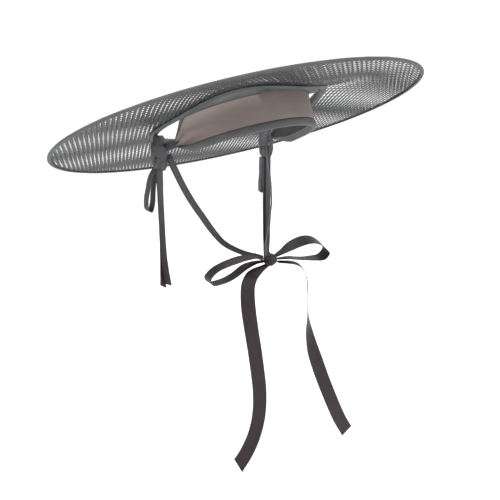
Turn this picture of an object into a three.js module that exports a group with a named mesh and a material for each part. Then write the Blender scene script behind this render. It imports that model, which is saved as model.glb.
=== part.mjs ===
// An open-crown sun hat: a wide, flat brim of see-through mesh on an oval opening,
// a satin forehead band hanging inside it, and ribbon ties at both sides and under the chin.
// Millimetres. +Z is up as worn, and the wearer faces -Y. The origin is the middle of the
// brim's outer edge, where the head sits.

import * as THREE from "three";

// ---- Brim ----
const brimDiameter = 440;
const brimTilt = 19; // degrees, front edge up
const openingForward = 6; // how far the opening's middle sits in front of the brim's
const openingRise = 10.5; // the opening's edge stands this much above the outer edge
const cornerLift = 8.5; // the opening stands higher still at either side of its front
const meshThickness = 0.4;
const meshGap = 0.6; // between the two mesh layers
const outerWireDiameter = 1.6;
const openingCoreDiameter = 5.6; // plastic, and the outer wire is steel
const tapeThickness = 0.5;
const outerTapeWidth = 4;
const openingTapeWidth = 9;
const fitGap = 0.4; // left between pieces that are sewn face to face
const brimSteps = 60;

// ---- Forehead band ----
const bandLength = 194; // outside, front to back
const bandWidth = 161;
const bandToOpening = { ends: 7, sides: 13.5 }; // room between the band and the opening
const openingLength = bandLength + 2 * bandToOpening.ends;
const openingWidth = bandWidth + 2 * bandToOpening.sides;
const bandHeight = 46;
const bandTop = 20; // above the brim's outer edge, square to the brim
const satinThickness = 0.6;
const stiffenerThickness = 0.9;
const bandTapeWidth = 8;
const bandTapeThickness = 0.5;
const bandHalfAngle = 84; // degrees either side of the front
const gatherLevel = 14; // the ends gather towards this height above the lower edge
const gatherAngle = 18; // degrees over which each end gathers
const seamHalfAngle = 30; // the front stretch where the band is sewn to the opening
const seamThickness = 0.8;
const seamDrop = 8; // below the band's upper edge
const bandSteps = 36;

// ---- Ribbon ----
const ribbonWidth = 17;
const foldedWidth = 8; // the same ribbon folded along its length
const pinchedWidth = 8; // where a knot grips it
const pinchLength = 26;
const ribbonThickness = 0.8;
const sideKnot = { across: 17, depth: 20, height: 38 }; // a bunch of short folds, tied off
const sideKnotAngle = 116.7; // degrees round the opening from the front
const sideKnotOut = 5; // outward from the opening's edge
const sideKnotGap = 1.4; // below the opening's tape
const tieGap = 1.7; // from the end of the band to the short tie that joins it to the side knot
const tieKnotGap = 2.6; // from the tie to the middle of the knot's side
const chinKnot = { across: 16, depth: 12, height: 13 };
const chinKnotPlace = [0, -58, -154];

const colours = {
  mesh: [0x5b5e60, 0.75],
  tape: [0x3f4143, 0.7],
  satin: [0x6a5f5c, 0.42],
  lining: [0x4a4643, 0.8],
  ribbon: [0x3a2e36, 0.45],
  wire: [0x2c2d30, 0.5],
  core: [0x26272a, 0.6],
};

const hat = new THREE.Group();
hat.name = "open_crown_brim_hat";
const brim = new THREE.Group(); // tilted back: x across, y to the back, z square to the brim
brim.rotation.x = THREE.MathUtils.degToRad(-brimTilt);
hat.add(brim);

function addPiece(group, name, geometry, finish, metalness = 0) {
  const [colour, roughness] = colours[finish];
  const material = new THREE.MeshStandardMaterial({ color: colour, roughness, metalness });
  const mesh = new THREE.Mesh(geometry, material);
  mesh.name = name;
  group.add(mesh);
  return mesh;
}

// Moves each vertex of a geometry to the place that a function gives for it.
function shaped(geometry, place) {
  const corners = geometry.getAttribute("position");
  const from = new THREE.Vector3();
  for (let i = 0; i < corners.count; i++) {
    const to = place(from.fromBufferAttribute(corners, i), i);
    corners.setXYZ(i, to.x, to.y, to.z);
  }
  geometry.deleteAttribute("normal");
  geometry.deleteAttribute("uv");
  return geometry;
}

// ---- Rings of the brim ----
// A closed section carried round the brim. A section point is [share, outward, up]: share 0 is
// the opening's edge, share 1 the outer edge, and outward and up are millimetres from there.
function brimRing(section) {
  const closed = [...section, section[0]].reverse();
  const lathe = new THREE.LatheGeometry(
    closed.map(() => new THREE.Vector2(1, 0)),
    brimSteps,
  );
  return shaped(lathe, (_, index) => {
    const turn = (2 * Math.PI * Math.floor(index / closed.length)) / brimSteps;
    const [share, outward, up] = closed[index % closed.length];
    const direction = new THREE.Vector2(Math.sin(turn), Math.cos(turn));
    const inner = new THREE.Vector2(
      (direction.x * openingWidth) / 2,
      (direction.y * openingLength) / 2 - openingForward,
    );
    const outer = direction.multiplyScalar(brimDiameter / 2);
    const span = inner.distanceTo(outer);
    const along = (share * span + outward) / span;
    const at = inner.lerp(outer, along);
    const lift = direction.y < 0 ? cornerLift * Math.sin(2 * turn) ** 2 : 0;
    return new THREE.Vector3(at.x, at.y, (openingRise + lift) * (1 - along) + up);
  });
}

const outerWireRadius = outerWireDiameter / 2;
const openingCoreRadius = openingCoreDiameter / 2;
// From an edge to the middle of the wire in its fold, and on to where the mesh stops.
const wireInset = (radius) => tapeThickness + fitGap + radius;
const meshInset = (radius) => wireInset(radius) + radius + fitGap;

// The mesh is two layers with a space between, both held in the folds of the edge tapes.
function meshSection(low, high) {
  const line = [
    [0, meshInset(openingCoreRadius)],
    [1 / 3, 0],
    [2 / 3, 0],
    [1, -meshInset(outerWireRadius)],
  ];
  const under = line.map((place) => [...place, low]);
  const over = line.map((place) => [...place, high]).reverse();
  return [...under, ...over];
}
const meshLow = meshGap / 2;
const meshHigh = meshLow + meshThickness;
addPiece(brim, "brim_mesh_upper", brimRing(meshSection(meshLow, meshHigh)), "mesh");
addPiece(brim, "brim_mesh_lower", brimRing(meshSection(-meshHigh, -meshLow)), "mesh");

// side is +1 at the opening's edge, where the brim lies outward, and -1 at the outer edge.
function wireSection(share, side, radius) {
  const corners = 6;
  return Array.from({ length: corners }, (_, i) => {
    const turn = (2 * Math.PI * i) / corners;
    return [share, side * wireInset(radius) + radius * Math.cos(turn), radius * Math.sin(turn)];
  });
}
addPiece(brim, "outer_hoop_wire", brimRing(wireSection(1, -1, outerWireRadius)), "wire", 0.6);
addPiece(brim, "opening_hoop_core", brimRing(wireSection(0, 1, openingCoreRadius)), "core");

// A tape folded over an edge and its wire: a U whose closed side is the edge.
function tapeSection(share, side, width, radius) {
  const slotHalf = radius + fitGap;
  const outside = slotHalf + tapeThickness;
  const section = [
    [0, -outside],
    [width, -outside],
    [width, -slotHalf],
    [tapeThickness, -slotHalf],
    [tapeThickness, slotHalf],
    [width, slotHalf],
    [width, outside],
    [0, outside],
  ].map(([outward, up]) => [share, side * outward, up]);
  return side > 0 ? section : section.reverse();
}
const outerTape = tapeSection(1, -1, outerTapeWidth, outerWireRadius);
addPiece(brim, "outer_edge_tape", brimRing(outerTape), "tape");
const openingTape = tapeSection(0, 1, openingTapeWidth, openingCoreRadius);
addPiece(brim, "opening_edge_tape", brimRing(openingTape), "tape");

// ---- Forehead band ----
// A section carried round the front of the band's oval. A section point is (out, up) from the
// band's outer face and lower edge. Turns are degrees from the front, positive to the wearer's
// left, and taper gives the share of the height left, from the last turn back to the first.
function bandPiece(outline, fromTurn, toTurn, steps, taper = () => 1) {
  const shape = new THREE.Shape(outline.map(([out, up]) => new THREE.Vector2(out, up)));
  const straight = new THREE.ExtrudeGeometry(shape, { depth: 1, steps, bevelEnabled: false });
  return shaped(straight, ({ x: out, y: up, z: share }) => {
    const turn = THREE.MathUtils.degToRad(THREE.MathUtils.lerp(toTurn, fromTurn, share));
    const facing = new THREE.Vector2(
      (Math.sin(turn) * bandLength) / 2,
      (-Math.cos(turn) * bandWidth) / 2,
    ).normalize();
    return new THREE.Vector3(
      (Math.sin(turn) * bandWidth) / 2 + facing.x * out,
      (-Math.cos(turn) * bandLength) / 2 + facing.y * out,
      bandTop - bandHeight + gatherLevel + (up - gatherLevel) * taper(share),
    );
  });
}

// A rectangle from its two corners, as (out, up) points.
function rectangle(outLow, outHigh, upLow, upHigh) {
  return [
    [outLow, upLow],
    [outHigh, upLow],
    [outHigh, upHigh],
    [outLow, upHigh],
  ];
}

const satinInside = -satinThickness;
const stiffenerOutside = satinInside - fitGap;
const stiffenerInside = stiffenerOutside - stiffenerThickness;
const liningOutside = stiffenerInside - fitGap;
const liningInside = liningOutside - satinThickness;
const edge = bandTapeThickness + fitGap; // the cloth stops this far inside the edge tapes
const cloth = [edge, bandHeight - edge];
const bandSpan = [-bandHalfAngle, bandHalfAngle, bandSteps];
addPiece(brim, "forehead_band_satin", bandPiece(rectangle(satinInside, 0, ...cloth), ...bandSpan), "satin");
addPiece(
  brim,
  "forehead_band_stiffener",
  bandPiece(rectangle(stiffenerInside, stiffenerOutside, ...cloth), ...bandSpan),
  "lining",
);
addPiece(
  brim,
  "forehead_band_lining",
  bandPiece(rectangle(liningInside, liningOutside, ...cloth), ...bandSpan),
  "lining",
);

// The band's edge tapes fold over its three layers. up is the edge, and into is +1 where the
// cloth lies above the edge and -1 where it lies below.
function bandTape(up, into) {
  const front = fitGap + bandTapeThickness;
  const back = liningInside - fitGap - bandTapeThickness;
  const outline = [
    [back, 0],
    [front, 0],
    [front, bandTapeWidth],
    [fitGap, bandTapeWidth],
    [fitGap, bandTapeThickness],
    [back + bandTapeThickness, bandTapeThickness],
    [back + bandTapeThickness, bandTapeWidth],
    [back, bandTapeWidth],
  ].map(([out, height]) => [out, up + into * height]);
  return bandPiece(outline, ...bandSpan);
}
addPiece(brim, "forehead_band_upper_tape", bandTape(bandHeight, -1), "tape");
addPiece(brim, "forehead_band_lower_tape", bandTape(0, 1), "tape");

// The band hangs from the opening by a crescent of tape across the front.
{
  const crescent = rectangle(0, 1, bandTop - seamDrop - seamThickness, bandTop - seamDrop);
  const shape = new THREE.Shape(crescent.map(([share, up]) => new THREE.Vector2(share, up)));
  const straight = new THREE.ExtrudeGeometry(shape, { depth: 1, steps: 16, bevelEnabled: false });
  const bandFace = fitGap + bandTapeThickness + fitGap;
  const seam = shaped(straight, ({ x: share, y: up, z: along }) => {
    const turn = THREE.MathUtils.degToRad(seamHalfAngle) * (1 - 2 * along);
    const facing = new THREE.Vector2(Math.sin(turn), -Math.cos(turn));
    const atBand = new THREE.Vector2(
      facing.x * (bandWidth / 2 + bandFace),
      facing.y * (bandLength / 2 + bandFace),
    );
    const atOpening = new THREE.Vector2(
      facing.x * (openingWidth / 2 - fitGap),
      facing.y * (openingLength / 2 - fitGap) - openingForward,
    );
    const at = atBand.lerp(atOpening, share);
    return new THREE.Vector3(at.x, at.y, up);
  });
  addPiece(brim, "front_seam_tape", seam, "tape");
}

// Each end of the band is gathered down to the width of its tie.
const gatherEndShare = foldedWidth / bandHeight;
for (const [side, way] of [["right", -1], ["left", 1]]) {
  const start = way * (bandHalfAngle + 0.4);
  const end = way * (bandHalfAngle + gatherAngle);
  const outline = rectangle(liningInside, 0, 0, bandHeight);
  const narrowing = (share) => 1 - (1 - gatherEndShare) * (way > 0 ? 1 - share : share);
  const turns = way > 0 ? [start, end] : [end, start];
  addPiece(brim, `band_gather_${side}`, bandPiece(outline, ...turns, 8, narrowing), "satin");
}

// ---- Ribbons ----
// A flat ribbon along a smooth route. across holds the direction of its width at even steps
// of the route, and width gives its width from the share of the length that lies behind.
function ribbon(route, across, steps, width) {
  const path = new THREE.CatmullRomCurve3(route.map((at) => new THREE.Vector3(...at)));
  const sides = new THREE.CatmullRomCurve3(across.map((at) => new THREE.Vector3(...at)));
  const length = path.getLength();
  const straight = new THREE.BoxGeometry(1, 1, 1, 2, 1, steps);
  return shaped(straight, ({ x, y, z }) => {
    const share = z + 0.5;
    const tangent = path.getTangentAt(share);
    const side = sides.getPoint(share);
    side.addScaledVector(tangent, -side.dot(tangent)).normalize();
    const face = new THREE.Vector3().crossVectors(tangent, side);
    return path
      .getPointAt(share)
      .addScaledVector(side, x * width(share, length))
      .addScaledVector(face, y * ribbonThickness);
  });
}

const evenly = (width) => () => width;
// Full width, pinched at the start, or at both ends of a loop, where the knot grips it.
function pinched(width, bothEnds = false) {
  return (share, length) => {
    const from = (bothEnds ? Math.min(share, 1 - share) : share) * length;
    return THREE.MathUtils.lerp(pinchedWidth, width, THREE.MathUtils.smoothstep(from, 0, pinchLength));
  };
}

function knot(place, across, depth, height) {
  const ball = new THREE.SphereGeometry(0.5, 14, 10);
  return shaped(ball, ({ x, y, z }) =>
    new THREE.Vector3(place[0] + x * across, place[1] + z * depth, place[2] - y * height));
}

// Moves a route to the place it is measured from, and mirrors it when way is -1.
function placed(points, from, way = 1) {
  return points.map(([x, y, z]) => [from.x + way * x, from.y + y, from.z + z]);
}

// Each side knot hangs from the opening's edge, and a short tie joins it to the band's end.
const sideKnotBase = {}; // the lowest point of each, as worn
const openingTapeHalf = openingCoreRadius + fitGap + tapeThickness;
for (const [side, way] of [["right", -1], ["left", 1]]) {
  const knotTurn = THREE.MathUtils.degToRad(sideKnotAngle);
  const knotPlace = new THREE.Vector3(
    way * Math.sin(knotTurn) * (openingWidth / 2 + sideKnotOut),
    -Math.cos(knotTurn) * (openingLength / 2 + sideKnotOut) - openingForward,
    openingRise - openingTapeHalf - sideKnotGap - sideKnot.height / 2,
  );
  const knotSizes = [sideKnot.across, sideKnot.depth, sideKnot.height];
  const knotWorn = knotPlace.clone().applyEuler(brim.rotation);
  addPiece(hat, `side_knot_${side}`, knot(knotWorn.toArray(), ...knotSizes), "ribbon");
  sideKnotBase[side] = knotWorn.clone();
  sideKnotBase[side].z -= sideKnot.height / 2;

  const bandEnd = THREE.MathUtils.degToRad(bandHalfAngle + gatherAngle);
  const tieStart = new THREE.Vector3(
    way * Math.sin(bandEnd) * (bandWidth / 2 + liningInside / 2),
    -Math.cos(bandEnd) * (bandLength / 2 + liningInside / 2),
    bandTop - bandHeight + gatherLevel + (bandHeight / 2 - gatherLevel) * gatherEndShare,
  );
  const towards = knotPlace.clone().sub(tieStart).normalize();
  const tieEnd = knotPlace.clone().addScaledVector(towards, -sideKnot.depth / 2 - tieKnotGap);
  tieStart.addScaledVector(towards, tieGap);
  const tieRoute = [tieStart.toArray(), tieEnd.toArray()];
  const tie = ribbon(tieRoute, [[0, 0, 1], [0, 0, 1]], 4, evenly(foldedWidth));
  addPiece(brim, `band_tie_${side}`, tie, "ribbon");
}

// Routes of the free ribbons on the wearer's right, from the lowest point of the side knot.
const origin = new THREE.Vector3();
const chinKnotBack = new THREE.Vector3(...chinKnotPlace);
chinKnotBack.y += chinKnot.depth / 2;

// The strap runs from the side knot to the back of the chin knot, round the cheek: each point
// is a share of the straight way there and how far the strap stands off it.
const strapStart = [8, -9, 12];
const strapEnd = [-5.5, 0.8, 1.5]; // from the middle of the chin knot's back
const strapBow = [
  [0, [0, 0, 0]],
  [0.11, [-4, 2, -4]],
  [0.218, [-8.2, 2.9, -7.3]],
  [0.33, [-11.2, 4.2, -10]],
  [0.452, [-12.8, 5.7, -12.1]],
  [0.587, [-13.1, 9.3, -14.5]],
  [0.713, [-11.7, 11.7, -15.1]],
  [0.816, [-7.5, 11.3, -12.3]],
  [0.897, [-3.7, 8.1, -7.8]],
  [0.961, [-0.5, 4.2, -3]],
  [1, [0, 0, 0]],
];
const strapAcross = [
  [-0.48, 0.73, -0.46],
  [-0.43, 0.61, -0.61],
  [-0.3, 0.55, -0.7],
  [0.1, 0.4, -0.74],
  [0.25, 0.33, -0.74],
];
const sideTailRoutes = {
  front: [
    [-1.8, -3, -1],
    [-2, -2.8, -14.2],
    [-2.1, -2.7, -39.2],
    [-1.9, -2.8, -64.2],
    [-1.5, -3.2, -89.2],
    [-0.9, -3.8, -109.2],
    [0.3, -4.6, -125.2],
    [2.1, -5.6, -141.2],
  ],
  back: [
    [-0.5, 1.2, -1],
    [-0.1, 1.2, -14.2],
    [0.1, 1, -39.2],
    [0.1, 0.8, -64.2],
    [-0.1, 0.6, -89.2],
    [-0.5, 0.6, -109.2],
    [-1.1, 0.6, -126.2],
    [-1.9, 0.4, -144.2],
  ],
};
const sideTailAcross = [[1, 0, 0], [1, 0.1, 0], [1, 0, 0]];
const sideLoopRoute = [
  [-2.9, 6.9, -0.5],
  [-6.1, 10.4, -8.2],
  [-9.3, 13, -24.2],
  [-11.1, 14.8, -37.2],
  [-9.9, 15.8, -48.2],
  [-5.9, 15.8, -51.2],
  [-3.1, 14.4, -42.2],
  [-2.7, 12.4, -28.2],
  [-1.5, 10.4, -12.2],
  [0.3, 8.1, -1.5],
];
const sideLoopAcross = [[0, 1, 0], [-0.15, 1, 0.1], [-0.15, 1, 0.1], [0, 1, 0]];

for (const [side, way] of [["right", 1], ["left", -1]]) {
  const base = sideKnotBase[side];
  const start = new THREE.Vector3(...placed([strapStart], base, way)[0]);
  const end = new THREE.Vector3(...placed([strapEnd], chinKnotBack, way)[0]);
  const strapRoute = strapBow.map(([share, offset]) =>
    placed([offset], start.clone().lerp(end, share), way)[0]);
  const strap = ribbon(strapRoute, placed(strapAcross, origin, way), 36, evenly(foldedWidth));
  addPiece(hat, `chin_strap_${side}`, strap, "ribbon");
  for (const [place, route] of Object.entries(sideTailRoutes)) {
    const across = placed(sideTailAcross, origin, way);
    const tail = ribbon(placed(route, base, way), across, 24, evenly(foldedWidth));
    addPiece(hat, `side_tail_${place}_${side}`, tail, "ribbon");
  }
  const loopAcross = placed(sideLoopAcross, origin, way);
  const loop = ribbon(placed(sideLoopRoute, base, way), loopAcross, 36, evenly(foldedWidth));
  addPiece(hat, `side_loop_${side}`, loop, "ribbon");
}

// The bow under the chin isn't the same on both sides, so each side has its own routes, from
// the middle of that side of the knot.
const chinLoops = {
  right: {
    route: [
      [-0.6, 1, 3],
      [-11, 6, 6.4],
      [-23, 11, 6.6],
      [-35, 14, 5.4],
      [-52, 17.5, 2.4],
      [-65, 21, -3],
      [-70.5, 24, -11],
      [-65.5, 25, -18.5],
      [-50, 22.5, -19],
      [-35, 18, -13.6],
      [-22, 12.5, -4.8],
      [-10.5, 7, -1],
      [-0.8, 1.6, -0.2],
    ],
    across: [[0.2, 1, 0], [0.3, 1, 0.1], [0.3, 1, 0], [0.3, 1, 0], [0.2, 1, 0]],
  },
  left: {
    route: [
      [0.6, 0, 3],
      [9, -3, 7],
      [18.5, -7.5, 13],
      [28, -12.5, 17.5],
      [39, -16.5, 19.4],
      [50, -19.5, 17.5],
      [63, -21.5, 10],
      [71.5, -22, 0.5],
      [65, -20.5, -6.6],
      [49, -17, -6.4],
      [33, -13, -4],
      [18, -7.5, -1.4],
      [0.8, -1, -0.2],
    ],
    across: [[0.2, 1, 0], [0.2, 0.9, 0.4], [0.3, 0.9, 0.3], [0.3, 1, 0], [0.2, 1, 0]],
  },
};
const chinTails = {
  right: {
    route: [
      [0, -3.6, -3.6],
      [-9, -5, -4],
      [-19, -5.4, -6],
      [-28.5, -5.4, -11],
      [-35, -6.2, -19.4],
      [-38.4, -8.4, -31],
      [-40, -12, -50],
      [-39.6, -16, -72],
      [-38.4, -20, -96],
      [-36.6, -23, -122],
      [-35.6, -25.6, -146],
      [-37, -27.4, -168],
      [-41.6, -28, -190],
      [-49.4, -27.8, -208],
      [-60, -27, -223],
      [-71.6, -26, -234],
    ],
    across: [
      [0, 1, 0],
      [-0.5, 0.8, 0],
      [-0.88, 0.47, 0],
      [-0.88, 0.47, 0],
      [-0.88, 0.47, 0],
      [-0.88, 0.47, 0],
    ],
  },
  left: {
    route: [
      [0, -3.4, -3.6],
      [9, -7.6, -4.8],
      [19, -12.4, -6.6],
      [27.6, -16.6, -11.2],
      [32.6, -20.4, -20],
      [34.2, -23.6, -32],
      [31.6, -27, -46],
      [27, -31.6, -64],
      [23.4, -37, -87],
      [24, -42.4, -109],
      [29, -48.4, -134],
      [37, -54, -161],
      [46.8, -59.6, -189],
      [58, -64.2, -216],
      [71, -68.4, -240],
    ],
    across: [
      [0.3, 1, 0],
      [0.6, 0.8, 0],
      [0.74, 0.67, 0],
      [0.78, 0.62, 0],
      [0.94, 0.1, 0],
      [0.9, -0.42, 0],
      [0.88, -0.47, 0],
      [0.88, -0.47, 0],
      [0.88, -0.47, 0],
      [0.86, -0.5, 0],
    ],
  },
};

const chinKnotSizes = [chinKnot.across, chinKnot.depth, chinKnot.height];
addPiece(hat, "chin_knot", knot(chinKnotPlace, ...chinKnotSizes), "ribbon");
for (const [side, way] of [["right", -1], ["left", 1]]) {
  const knotSide = new THREE.Vector3(...chinKnotPlace);
  knotSide.x += (way * chinKnot.across) / 2;
  const { route: loopRoute, across: loopAcross } = chinLoops[side];
  const loop = ribbon(placed(loopRoute, knotSide), loopAcross, 44, pinched(ribbonWidth, true));
  addPiece(hat, `chin_loop_${side}`, loop, "ribbon");
  const { route: tailRoute, across: tailAcross } = chinTails[side];
  const tail = ribbon(placed(tailRoute, knotSide), tailAcross, 48, pinched(ribbonWidth));
  addPiece(hat, `chin_tail_${side}`, tail, "ribbon");
}

export default hat;
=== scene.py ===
import math

import bpy
import numpy as np
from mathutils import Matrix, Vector, noise


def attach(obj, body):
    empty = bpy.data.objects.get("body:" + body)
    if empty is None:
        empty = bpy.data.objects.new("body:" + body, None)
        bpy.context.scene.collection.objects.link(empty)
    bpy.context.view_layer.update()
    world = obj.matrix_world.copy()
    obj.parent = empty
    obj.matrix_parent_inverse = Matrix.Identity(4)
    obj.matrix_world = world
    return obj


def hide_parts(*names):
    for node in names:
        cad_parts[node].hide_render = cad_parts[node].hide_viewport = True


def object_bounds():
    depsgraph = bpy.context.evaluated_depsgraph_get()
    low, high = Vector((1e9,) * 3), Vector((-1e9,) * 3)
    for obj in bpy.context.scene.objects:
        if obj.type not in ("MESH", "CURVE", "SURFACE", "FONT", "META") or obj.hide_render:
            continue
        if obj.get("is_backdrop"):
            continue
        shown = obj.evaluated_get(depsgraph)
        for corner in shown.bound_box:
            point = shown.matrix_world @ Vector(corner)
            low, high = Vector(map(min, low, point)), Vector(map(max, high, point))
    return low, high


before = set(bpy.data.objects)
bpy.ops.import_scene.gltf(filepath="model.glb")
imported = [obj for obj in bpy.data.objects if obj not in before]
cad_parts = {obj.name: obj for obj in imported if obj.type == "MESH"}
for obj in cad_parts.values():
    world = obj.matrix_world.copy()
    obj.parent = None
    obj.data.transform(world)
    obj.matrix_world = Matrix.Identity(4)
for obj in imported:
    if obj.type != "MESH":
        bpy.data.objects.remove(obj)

cadBox = [list(corner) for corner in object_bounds()]
mm = 0.001

# Camera: the place and lens that give the hat's own perspective, seen from the wearer's front right.
cameraView = {
    "azimuth": -44.5,
    "elevation": 16,
    "offset": (0.01621, -0.14766, 0.68376),  # metres to the right, up and back of the hat's middle
    "lens": 41.04,
    "sensor": 36,
}


def placeCamera(view):
    turn = math.radians(view["azimuth"])
    rise = math.radians(view["elevation"])
    right = Vector((math.cos(turn), math.sin(turn), 0))
    back = Vector((
        math.sin(turn) * math.cos(rise),
        -math.cos(turn) * math.cos(rise),
        math.sin(rise),
    ))
    up = back.cross(right)
    side, height, distance = view["offset"]
    data = bpy.data.cameras.new("camera")
    data.lens = view["lens"]
    data.sensor_width = view["sensor"]
    data.clip_start = 0.01
    camera = bpy.data.objects.new("camera", data)
    camera.location = right * side + up * height + back * distance
    camera.rotation_euler = back.to_track_quat("Z", "Y").to_euler()
    bpy.context.collection.objects.link(camera)
    bpy.context.scene.camera = camera
    return right, up, back


cameraRight, cameraUp, cameraBack = placeCamera(cameraView)


# Mesh helpers
def addObject(name, vertices, faces, material, uv=None, smooth=True):
    mesh = bpy.data.meshes.new(name)
    mesh.from_pydata([tuple(v) for v in vertices], [], faces)
    mesh.materials.append(material)
    if uv is not None:
        layer = mesh.uv_layers.new(name="weave")
        corners = np.empty(len(mesh.loops), dtype=np.int32)
        mesh.loops.foreach_get("vertex_index", corners)
        layer.data.foreach_set("uv", np.asarray(uv, dtype=np.float32)[corners].ravel())
    if smooth:
        mesh.shade_smooth()
    obj = bpy.data.objects.new(name, mesh)
    bpy.context.collection.objects.link(obj)
    return obj


# Faces of a grid of rings. Each ring is a closed section.
def ringFaces(rings, section, closedRings=False, start=0):
    index = np.arange(rings * section).reshape(rings, section) + start
    nextRing = np.roll(index, -1, axis=0)
    if not closedRings:
        index, nextRing = index[:-1], nextRing[:-1]
    quads = np.stack(
        [index, np.roll(index, -1, axis=1), np.roll(nextRing, -1, axis=1), nextRing], axis=-1
    )
    return quads.reshape(-1, 4).tolist()


def closedTube(rings, section, start=0):
    faces = ringFaces(rings, section, start=start)
    last = start + (rings - 1) * section
    faces.append(list(range(start + section - 1, start - 1, -1)))
    faces.append(list(range(last, last + section)))
    return faces


# A smooth route through points, as the frame's ribbons follow it, with the share of its length.
class Route:
    def __init__(self, points, fine=60):
        points = [np.array(p, float) for p in points]
        padded = [2 * points[0] - points[1], *points, 2 * points[-1] - points[-2]]
        samples = []
        for i in range(len(points) - 1):
            p0, p1, p2, p3 = padded[i : i + 4]
            gaps = [max(np.linalg.norm(b - a) ** 0.5, 1e-6) for a, b in ((p0, p1), (p1, p2), (p2, p3))]
            t1 = (p1 - p0) / gaps[0] - (p2 - p0) / (gaps[0] + gaps[1]) + (p2 - p1) / gaps[1]
            t2 = (p2 - p1) / gaps[1] - (p3 - p1) / (gaps[1] + gaps[2]) + (p3 - p2) / gaps[2]
            t1, t2 = t1 * gaps[1], t2 * gaps[1]
            for step in range(fine + (i == len(points) - 2)):
                t = step / fine
                samples.append(
                    p1 + t1 * t + (3 * (p2 - p1) - 2 * t1 - t2) * t**2 + (2 * (p1 - p2) + t1 + t2) * t**3
                )
        self.line = np.array(samples)
        steps = np.linalg.norm(np.diff(self.line, axis=0), axis=1)
        self.run = np.concatenate([[0], np.cumsum(steps)])
        self.length = self.run[-1]

    def at(self, shares):
        where = np.asarray(shares) * self.length
        return np.stack([np.interp(where, self.run, self.line[:, k]) for k in range(3)], axis=1)

    def atEven(self, shares):
        where = np.asarray(shares) * (len(self.line) - 1)
        steps = np.arange(len(self.line))
        return np.stack([np.interp(where, steps, self.line[:, k]) for k in range(3)], axis=1)


def unit(vectors):
    return vectors / np.maximum(np.linalg.norm(vectors, axis=-1, keepdims=True), 1e-9)


def smoothStep(x):
    x = np.clip(x, 0, 1)
    return x * x * (3 - 2 * x)


# Material helpers
def toLinear(hexColour):
    channels = [int(hexColour[i : i + 2], 16) / 255 for i in (1, 3, 5)]
    linear = [c / 12.92 if c <= 0.04045 else ((c + 0.055) / 1.055) ** 2.4 for c in channels]
    return (*linear, 1)


def addNode(tree, kind, inputs=None, **settings):
    node = tree.nodes.new(kind)
    for key, value in settings.items():
        setattr(node, key, value)
    for key, value in (inputs or {}).items():
        if isinstance(value, bpy.types.NodeSocket):
            tree.links.new(value, node.inputs[key])
        else:
            node.inputs[key].default_value = value
    return node


def newMaterial(name, **inputs):
    material = bpy.data.materials.new(name)
    material.use_nodes = True
    tree = material.node_tree
    shader = next(node for node in tree.nodes if node.type == "BSDF_PRINCIPLED")
    for key, value in inputs.items():
        shader.inputs[key.replace("_", " ")].default_value = value
    return material, tree, shader


# Bump from a height, joined to the shader.
def addBump(tree, shader, height, distanceMm, strength=1.0):
    inputs = {"Strength": strength, "Distance": distanceMm * mm, "Height": height}
    bump = addNode(tree, "ShaderNodeBump", inputs)
    tree.links.new(bump.outputs["Normal"], shader.inputs["Normal"])


# Cloth coordinates in millimetres, from the weave map: x across the warp, y along it.
def clothCoordinates(tree, acrossMm, alongMm):
    weaveMap = addNode(tree, "ShaderNodeUVMap", uv_map="weave")
    return addNode(
        tree,
        "ShaderNodeMapping",
        {"Vector": weaveMap.outputs["UV"], "Scale": (1 / acrossMm, 1 / alongMm, 1)},
    ).outputs["Vector"]


# One set of threads as a height: one rise and fall for each whole number of the coordinate.
def threadHeight(tree, cloth, direction):
    return addNode(
        tree,
        "ShaderNodeTexWave",
        {"Vector": cloth, "Scale": 2 * math.pi / 20},
        bands_direction=direction,
    ).outputs["Fac"]


def combine(tree, operation, first, second):
    return addNode(tree, "ShaderNodeMath", {0: first, 1: second}, operation=operation).outputs["Value"]


# Colour that drifts softly between two hex values over spots of a real size.
def mottledColour(tree, shader, darker, lighter, spotMm, vector=None, detail=3.0):
    if vector is None:
        vector = addNode(tree, "ShaderNodeTexCoord").outputs["Object"]
        scale = 1 / (spotMm * mm)
    else:
        scale = 1.0
    spots = addNode(tree, "ShaderNodeTexNoise", {"Vector": vector, "Scale": scale, "Detail": detail})
    ramp = addNode(tree, "ShaderNodeValToRGB", {"Fac": spots.outputs["Fac"]})
    ramp.color_ramp.elements[0].position = 0.3
    ramp.color_ramp.elements[0].color = toLinear(darker)
    ramp.color_ramp.elements[1].position = 0.7
    ramp.color_ramp.elements[1].color = toLinear(lighter)
    tree.links.new(ramp.outputs["Color"], shader.inputs["Base Color"])
    return ramp.outputs["Color"]


# Stiff polyester netting: flat extruded ribs, dull black that dust and light turn mid grey.
def makeNetting():
    material, tree, shader = newMaterial("stiffenedPolyesterNetting", Roughness=0.55, IOR=1.5)
    mottledColour(tree, shader, "#222427", "#2e3033", 60)
    cloth = clothCoordinates(tree, 0.55, 0.7)  # filaments, drawn coarser than the real 0.1 mm
    threads = combine(tree, "MULTIPLY", threadHeight(tree, cloth, "X"), threadHeight(tree, cloth, "Y"))
    addBump(tree, shader, threads, 0.06, 0.8)
    return material


# Woven polyester binding tape: fine crosswise ribs give it a soft matt shine.
def makeTape(name, darker, lighter):
    material, tree, shader = newMaterial(name, Roughness=0.62, IOR=1.45)
    mottledColour(tree, shader, darker, lighter, 22)
    cloth = clothCoordinates(tree, 1.0, 0.9)  # ribs 0.9 mm apart, about twice the real spacing
    ribs = threadHeight(tree, cloth, "Y")
    ends = threadHeight(tree, cloth, "X")
    height = combine(tree, "ADD", ribs, combine(tree, "MULTIPLY", ends, 0.35))
    addBump(tree, shader, height, 0.12, 0.7)
    return material
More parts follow.
